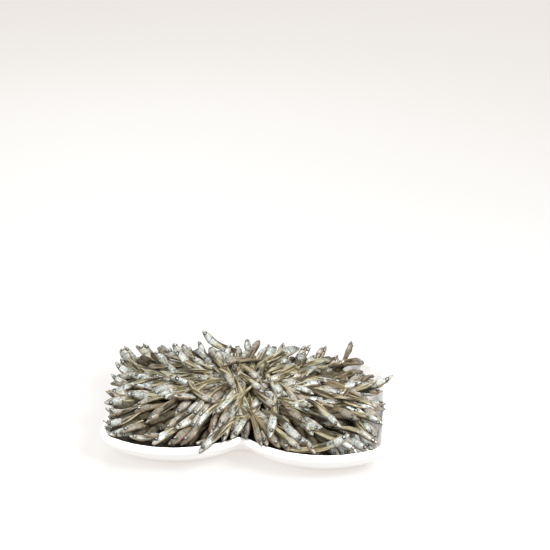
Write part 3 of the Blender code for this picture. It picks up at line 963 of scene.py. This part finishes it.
def join_fish(name, fishes, ball, eye, seed):
    """A piece of many fish with their eyes, and the values that paint them."""
    rng = np.random.default_rng(seed)
    sides = (-1.0, 1.0) if eye else ()
    balls, places, skin_at = [], [], []
    paint = {key: [] for key in PAINT_VALUES}

    def add(one, traits, form, t, tall, wide, values):
        """Bends one body or eye along its fish and keeps its paint values."""
        twist = traits.twist * rising(t, *TWIST) * TWIST_MOST
        places.append(np.stack(one.placed(t, tall * one.length, wide * one.length, twist), axis=1))
        skin_at.append(np.stack([t, wide, tall], axis=1) * one.length * CENTIMETRES + traits.offset)
        values = {"along": t, "tone": traits.tone, **values}
        for key in paint:
            paint[key].append(np.broadcast_to(values.get(key, 0.0), t.shape))
        balls.append(form)

    for one in fishes:
        traits = Traits(rng)
        t, tall, wide, values = fish_points(ball, traits)
        add(one, traits, ball, t, tall, wide, {**values, "eye": NOT_AN_EYE})
        for side in sides:
            t, tall, wide, ring = eye_points(eye, traits, side)
            add(one, traits, eye, t, tall, wide, {"eye": ring})
    bm = bmesh.new()
    for form in balls:
        bm.from_mesh(form.mesh)
    mesh = new_mesh(name, bm)
    mesh.vertices.foreach_set("co", np.concatenate(places).ravel())
    for key, rows in paint.items():
        mesh.attributes.new(key, "FLOAT", "POINT").data.foreach_set("value", np.concatenate(rows))
    skin_places = mesh.attributes.new("skin_at", "FLOAT_VECTOR", "POINT")
    skin_places.data.foreach_set("vector", np.concatenate(skin_at).ravel())
    bm = bmesh.new()
    bm.from_mesh(mesh)
    bmesh.ops.recalc_face_normals(bm, faces=bm.faces[:])
    layer = bm.verts.layers.float["eye"]
    for face in bm.faces:
        face.material_index = 1 if face.verts[0][layer] >= 0.0 else 0
        face.smooth = True
    bm.to_mesh(mesh)
    bm.free()
    piece = new_object(name, mesh)
    rounder = piece.modifiers.new("rounder", "SUBSURF")
    rounder.levels = 1
    rounder.render_levels = 1
    return piece


print("values on each point", len(PAINT_VALUES) + 1)

# %% [markdown]
# Dried skin. Heads and bellies keep their silver, in small patches with a painted cool sheen,
# speckled and edged with tan. The back has dried to olive and grey tan, with dark furrows of painted
# shade and pale streaks, partly silver and partly painted highlight, that run lengthwise, and the
# tails are partly golden. The paint is one node group that every kind of fish uses: it reads the
# values stored on the points, so it bends and twists with each body.

# %% The paint of the skin
PAINT_INPUTS = (
    ("Back", (0.036, 0.029, 0.013)),
    ("Side", (0.128, 0.104, 0.045)),
    ("Belly", (0.235, 0.185, 0.105)),
    # Silver colours the pale streaks: partly silver skin, partly painted highlight on the ridges
    ("Silver", (0.345, 0.335, 0.250)),
    ("Head", (0.385, 0.398, 0.368)),
    # Sheen is a painted reflection, a cool tint in patches on the head
    ("Sheen", (0.175, 0.235, 0.245)),
    ("Gold", (0.255, 0.200, 0.085)),
    ("Shade", (0.085, 0.092, 0.084)),
    ("Snout", (0.225, 0.170, 0.115)),
    # Furrow is painted shade in the creases; it also darkens the mouth crease, the gill line and the
    # snout's tip
    ("Furrow", (0.010, 0.0075, 0.0032)),
)
PAINT_OUTPUTS = (("Colour", "Color"), ("Silver", "Float"), ("Roughness", "Float"), ("Height", "Float"))

# Scale and detail of the noises, in centimetres of skin
STREAK_STRETCH = (0.45, 5.0, 5.0)
STREAKS = (1.0, 3.0)
PATCHES = (2.6, 3.0)
GRAIN = (16.0, 2.0)
SPECKLES = (8.0, 3.0)
SHEEN_SPOTS = (4.0, 2.0)

# Each mask is none at its first number and full at its second; two more give other ends
DARK_BACK = (0.35, 0.85)
PALE_BELLY = (-0.45, -0.85)
# Pale streaks: silver skin and painted highlight on the ridges
PALE_STREAK = (0.51, 0.61, 0.0, 0.80)
# Dark streaks: painted shade in the furrows
DARK_STREAK = (0.52, 0.43, 0.0, 0.88)
GOLD_ALONG = (0.42, 0.75)
GOLD_PATCH = (0.48, 0.62, 0.0, 0.28)
SILVER_FLANK = (0.86, 0.56)
SILVER_END = (0.36, 0.22)
DARK_SPECKLE = (0.53, 0.38, 0.0, 0.66)
# Painted reflection: a cool sheen in patches on the head
COOL_SHEEN = (0.50, 0.62, 0.0, 0.70)
DARK_CROWN = (0.80, 1.15, 0.0, 0.65)
DARK_TIP = (0.030, 0.006, 0.0, 0.75)
GILL_LINE = (0.38, 0.62, 0.9, 2.6)
SKIN_ROUGHNESS = (0.3, 0.7, 0.34, 0.56)

# How strong each is
NOISE_MEAN = 0.5
BACK_DRIFT = 0.9
FLANK_DOWN = 0.08
RAGGED_END = 0.35
END_BY_FISH = 0.12
SNOUT_SHARE = 0.85
# The mouth crease is darkened with painted shade
MOUTH_SHARE = 0.55
STREAK_SILVER = 0.6
HEAD_SMOOTH = 1.15
GRAIN_HEIGHT = 0.22
PATCH_HEIGHT = 0.30


def point_value(tree, name, output="Fac"):
    """A value that is stored on the points of the mesh."""
    made = tree.nodes.new("ShaderNodeAttribute")
    made.attribute_name = name
    return made.outputs[output]


def stretched(place, scale):
    """A place pulled out or pressed together along each axis."""
    made = place.id_data.nodes.new("ShaderNodeMapping")
    set_inputs(made, {"Scale": scale})
    join(place, made.inputs["Vector"])
    return made.outputs["Vector"]


def skin_group():
    """The node group that paints a dried fish from the values on its points."""
    tree = bpy.data.node_groups.new("dried_skin_paint", "ShaderNodeTree")
    for name, colour in PAINT_INPUTS:
        socket = tree.interface.new_socket(name, in_out="INPUT", socket_type="NodeSocketColor")
        socket.default_value = (*colour, 1.0)
    for name, kind in PAINT_OUTPUTS:
        tree.interface.new_socket(name, in_out="OUTPUT", socket_type=f"NodeSocket{kind}")
    given = tree.nodes.new("NodeGroupInput").outputs
    out = tree.nodes.new("NodeGroupOutput").inputs
    at = point_value(tree, "skin_at", "Vector")
    along, back = point_value(tree, "along"), point_value(tree, "back")
    head, mouth, tone = point_value(tree, "head"), point_value(tree, "mouth"), point_value(tree, "tone")

    streaks = noise_of(stretched(at, STREAK_STRETCH), *STREAKS)
    patches = noise_of(at, *PATCHES)
    grain = noise_of(at, *GRAIN)
    shift = counted("SUBTRACT", patches, NOISE_MEAN)
    drifted = counted("ADD", back, times(shift, BACK_DRIFT))

    # Streaks along the body: pale ones on the ridges, partly silver and partly painted highlight, and
    # dark ones in the furrows, painted shade. Golden patches near the tail.
    glint = ramped(streaks, *PALE_STREAK)
    golden = times(ramped(along, *GOLD_ALONG), ramped(patches, *GOLD_PATCH))
    furrow = ramped(streaks, *DARK_STREAK)

    # Silver on the cheek, running on behind the gill cover, with patches of a painted cool sheen,
    # speckled and edged with tan
    flank = ramped(counted("ABSOLUTE", counted("ADD", back, FLANK_DOWN)), *SILVER_FLANK)
    ragged = counted("ADD", along, times(shift, RAGGED_END))
    silver = times(flank, ramped(counted("SUBTRACT", ragged, times(tone, END_BY_FISH)), *SILVER_END))
    sheen = ramped(noise_of(at, *SHEEN_SPOTS), *COOL_SHEEN)
    speckle = ramped(noise_of(at, *SPECKLES), *DARK_SPECKLE)
    cheek = blended(speckle, blended(sheen, given["Head"], given["Sheen"]), given["Shade"])

    # The line where the gill cover ends, painted shade at its edge, worn away in places
    edge = times(head, counted("SUBTRACT", 1.0, head))
    gill_line = times(edge, ramped(patches, *GILL_LINE))

    # From tan sides and a dark back up to the darkest marks, some of them painted shade, each layer
    # lies over those before it
    colour = given["Side"]
    layers = (
        (ramped(drifted, *DARK_BACK), given["Back"]),
        (ramped(drifted, *PALE_BELLY), given["Belly"]),
        # Pale streaks, partly painted highlight
        (glint, given["Silver"]),
        (golden, given["Gold"]),
        # Painted shade in the furrows
        (furrow, given["Furrow"]),
        (times(head, SNOUT_SHARE), given["Snout"]),
        (silver, cheek),
        (times(head, ramped(drifted, *DARK_CROWN)), given["Back"]),
        (ramped(along, *DARK_TIP), given["Furrow"]),
        # Painted shade in the mouth crease and along the gill cover's edge
        (times(mouth, MOUTH_SHARE), given["Furrow"]),
        (gill_line, given["Furrow"]),
    )
    for mask, layer in layers:
        colour = blended(mask, colour, layer)
    join(colour, out["Colour"])

    join(counted("MAXIMUM", silver, times(glint, STREAK_SILVER)), out["Silver"])
    join(ramped(grain, *SKIN_ROUGHNESS), out["Roughness"])
    height = times(streaks, counted("SUBTRACT", HEAD_SMOOTH, head))
    for bumps, share in ((grain, GRAIN_HEIGHT), (patches, PATCH_HEIGHT)):
        height = counted("ADD", height, times(bumps, share))
    join(height, out["Height"])
    return tree


skin_paint = skin_group()
print("nodes in the paint", len(skin_paint.nodes))

# %% [markdown]
# The fish dried unevenly: some stayed bright, some turned tan or brown. Those further down have
# painted shade: their skin is a much darker copy of the paint. Each kind is the same paint with other
# colours, a share of metal and a little gloss. The eye is a clouded lens in a dark ring.

# %% The skins and the eye
BUMP_STRENGTH = 0.75
BUMP_DEPTH = 0.0012
LENS_PALE = (0.30, 0.305, 0.29, 1.0)
LENS_DARK = (0.085, 0.085, 0.080, 1.0)
LENS_CLOUDS = 5.0
LENS_RANGE = (0.40, 0.60)
RING_COLOUR = (0.008, 0.008, 0.008, 1.0)
RING_RANGE = (0.42, 0.60)
RIM_COLOUR = (0.115, 0.105, 0.085, 1.0)
RIM_RANGE = (0.84, 1.00)
RING_NOISE = 7.0
RING_UNEVEN = 0.45
EYE_ROUGHNESS = (0.70, 0.95, 0.20, 0.65)
EYE_SHINE = 0.35


def skin_material(name, metal, shine, **colours):
    """A kind of skin: the shared paint with its own colours."""
    made, tree, shader = principled(name)
    paint = tree.nodes.new("ShaderNodeGroup")
    paint.node_tree = skin_paint
    for key, colour in colours.items():
        paint.inputs[key.title()].default_value = (*colour, 1.0)
    join(paint.outputs["Colour"], shader.inputs["Base Color"])
    join(times(paint.outputs["Silver"], metal), shader.inputs["Metallic"])
    join(paint.outputs["Roughness"], shader.inputs["Roughness"])
    shader.inputs["Specular IOR Level"].default_value = shine
    bumped(shader, paint.outputs["Height"], BUMP_STRENGTH, BUMP_DEPTH)
    return made


def eye_material():
    """A clouded pale lens in a dark ring."""
    made, tree, shader = principled("dried_eye")
    at = point_value(tree, "skin_at", "Vector")
    uneven = counted("SUBTRACT", noise_of(at, RING_NOISE), NOISE_MEAN)
    ring = counted("ADD", point_value(tree, "eye"), times(uneven, RING_UNEVEN))
    clouds = ramped(noise_of(at, LENS_CLOUDS), *LENS_RANGE)
    colour = blended(clouds, LENS_PALE, LENS_DARK)
    colour = blended(ramped(ring, *RING_RANGE), colour, RING_COLOUR)
    colour = blended(ramped(ring, *RIM_RANGE), colour, RIM_COLOUR)
    join(ramped(ring, *EYE_ROUGHNESS), shader.inputs["Roughness"])
    join(colour, shader.inputs["Base Color"])
    shader.inputs["Specular IOR Level"].default_value = EYE_SHINE
    return made


silver_skin = skin_material("silver_skin", metal=0.62, shine=0.22)
pale_skin = skin_material(
    "pale_skin",
    metal=0.58,
    shine=0.25,
    head=(0.47, 0.485, 0.455),
    sheen=(0.23, 0.30, 0.31),
)
tan_skin = skin_material(
    "tan_skin",
    metal=0.48,
    shine=0.18,
    head=(0.335, 0.325, 0.280),
    sheen=(0.180, 0.185, 0.165),
    shade=(0.090, 0.082, 0.065),
    silver=(0.285, 0.262, 0.180),
)
brown_skin = skin_material(
    "brown_skin",
    metal=0.38,
    shine=0.15,
    side=(0.100, 0.074, 0.036),
    belly=(0.165, 0.118, 0.062),
    head=(0.215, 0.195, 0.155),
    sheen=(0.120, 0.118, 0.100),
    gold=(0.180, 0.120, 0.055),
    shade=(0.065, 0.055, 0.042),
    snout=(0.150, 0.100, 0.065),
    silver=(0.165, 0.136, 0.088),
)
# Painted shade: a much darker copy of the skin, with no metal and almost no gloss, for the fish underneath
painted_shade_skin = skin_material(
    "painted_shade_skin",
    metal=0.0,
    shine=0.02,
    back=(0.0085, 0.0062, 0.0030),
    side=(0.036, 0.026, 0.012),
    belly=(0.068, 0.050, 0.026),
    head=(0.085, 0.074, 0.050),
    sheen=(0.042, 0.038, 0.027),
    gold=(0.060, 0.045, 0.018),
    shade=(0.012, 0.010, 0.0065),
    silver=(0.082, 0.068, 0.042),
    snout=(0.034, 0.023, 0.012),
    furrow=(0.0030, 0.0021, 0.0009),
)
eye_paint = eye_material()
print("skins", [name for name in bpy.data.materials.keys() if name.endswith("_skin")])

# %% The fish of the heap
KINDS = (
    # name, skin, share of the fish
    ("fish_silver", silver_skin, 0.29),
    ("fish_pale", pale_skin, 0.26),
    ("fish_tan", tan_skin, 0.28),
    ("fish_brown", brown_skin, 0.17),
)
KIND_SEED = 5
TRAIT_SEED = 100

kind_rng = np.random.default_rng(KIND_SEED)
kind_of = kind_rng.choice(len(KINDS), size=len(fish_list), p=[share for _, _, share in KINDS])
heap_pieces = []
for number, (name, skin, _) in enumerate(KINDS):
    own = [one for one, kind in zip(fish_list, kind_of) if kind == number]
    piece = join_fish(name, own, fine_ball, eye_ball, seed=TRAIT_SEED + number)
    piece.data.materials.append(skin)
    piece.data.materials.append(eye_paint)
    heap_pieces.append(piece)
    print(name, len(own), "fish", len(piece.data.polygons), "faces")

# %% [markdown]
# A second, lower layer of plainer fish fills the gaps. They have fewer faces and no eyes, as only
# parts of them show, and their skin is painted shade. The layer stays back at the right end, where
# the dish's white wall shows.

# %% The fish underneath
UNDER_RINGS = 9
UNDER_RING_STEP = 0.6
UNDER_FIRST_RING = 0.25
UNDER_SPAN = (0.05, 0.95)
UNDER_STATIONS = 7
UNDER_DROP = 0.0060
UNDER_DIP = 0.006
UNDER_SHARE = 0.97
UNDER_BALL = (8, 7)
UNDER_SEED = 200
END_GAP = 0.020
END_GAP_AT = (0.072, 0.040)


def clear_of_end(x):
    """Moves what is under the fish back from the dish's right end, whose white wall shows."""
    return x - END_GAP * rising(x, *END_GAP_AT)


def lay_under():
    """Plainer fish in a lower layer: shorter rings, dropped by half a body."""
    rng = np.random.default_rng(LAYOUT_SEED + 1)
    t = np.linspace(*UNDER_SPAN, UNDER_STATIONS)
    curve_terms = np.vander(t, 3, increasing=True)
    laid = []
    for number in range(UNDER_RINGS):
        level = number * UNDER_RING_STEP + UNDER_FIRST_RING
        for x, y in ring_places(dish_plan, level, rng):
            one = some_fish(rng, clear_of_end(x) * UNDER_SHARE, y * UNDER_SHARE, heading_at(x, y))
            along_x, along_y = one.beside(t)
            top = heap_height(dish_plan, along_x, along_y) - UNDER_DROP
            base, slope, curve = np.linalg.lstsq(curve_terms, top, rcond=None)[0]
            one.rise = (base, slope - UNDER_DIP, curve)
            lift_clear(height_field, one)
            laid.append(one)
    return laid


under_list = lay_under()
under = join_fish("fish_under", under_list, FishBall(*UNDER_BALL), None, seed=UNDER_SEED)
# The fish underneath are painted dark as shade
under.data.materials.append(painted_shade_skin)
heap_pieces.append(under)
print("fish underneath", len(under_list), "faces", len(under.data.polygons))

# %% [markdown]
# Under both layers a rough bed, painted near black as shade, closes the view to the dish. It is a
# stack of rings again, just inside the dish's wall and floor, then over the low mound that the first
# fish lie on.

# %% The bed
BED_SHARES = (0.97, 0.92, 0.86, 0.79, 0.71, 0.62, 0.53, 0.43, 0.33, 0.22, 0.11, 0.03)
BED_GAP = 0.0008
LUMP_HEIGHT = 0.0012
LUMPS_X = 900
LUMPS_Y = 1100
LUMP_BEND = 4
LUMP_BENDS = 500
# Painted shade: the bed's colours are as dark as the depth of the heap
BED_DEEP_SHADE = (0.012, 0.010, 0.006, 1.0)
BED_LIGHTER_SHADE = (0.060, 0.050, 0.034, 1.0)
BED_MOTTLE = (160.0, 4.0)
BED_MOTTLE_RANGE = (0.35, 0.65)
BED_ROUGHNESS = 0.7


def bed_mesh():
    """A rough mound under the fish, inside the dish and clear of it, to be painted dark as shade."""
    inside = [(inset + BED_GAP, height + BED_GAP) for inset, height in reversed(INNER_WALL)]
    rings = [[(x, y, z) for x, y in dish_outline(inset, *FINE_PLAN)] for inset, z in inside]
    outer = np.array(dish_outline(inside[-1][0], *FINE_PLAN))
    for share in BED_SHARES:
        x, y = share * outer[:, 0], share * outer[:, 1]
        lumps = np.sin(LUMPS_X * x + LUMP_BEND * np.sin(LUMP_BENDS * y)) * np.sin(LUMPS_Y * y)
        z = bed_height(dish_plan, x, y, dish_plan.inset(x, y)) + LUMP_HEIGHT * lumps
        rings.append(list(zip(x, y, z)))
    rings = [[(clear_of_end(x), y, z) for x, y, z in ring] for ring in rings]
    return ring_loft("heap_bed", rings)


bed = bed_mesh()
bed.data.shade_smooth()
# The bed's finish is painted shade, near black and mottled
bed_skin, bed_tree, bed_shader = principled("bed_skin")
bed_place = bed_tree.nodes.new("ShaderNodeTexCoord").outputs["Object"]
bed_mottle = ramped(noise_of(bed_place, *BED_MOTTLE), *BED_MOTTLE_RANGE)
join(blended(bed_mottle, BED_DEEP_SHADE, BED_LIGHTER_SHADE), bed_shader.inputs["Base Color"])
bed_shader.inputs["Roughness"].default_value = BED_ROUGHNESS
bed.data.materials.append(bed_skin)
heap_pieces.append(bed)
print("bed faces", len(bed.data.polygons))

# %% [markdown]
# Last, every piece of the heap rides on the one body and stands for the solid heap.

# %% The end
for piece in heap_pieces:
    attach(piece, "root")
    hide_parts("anchovies")
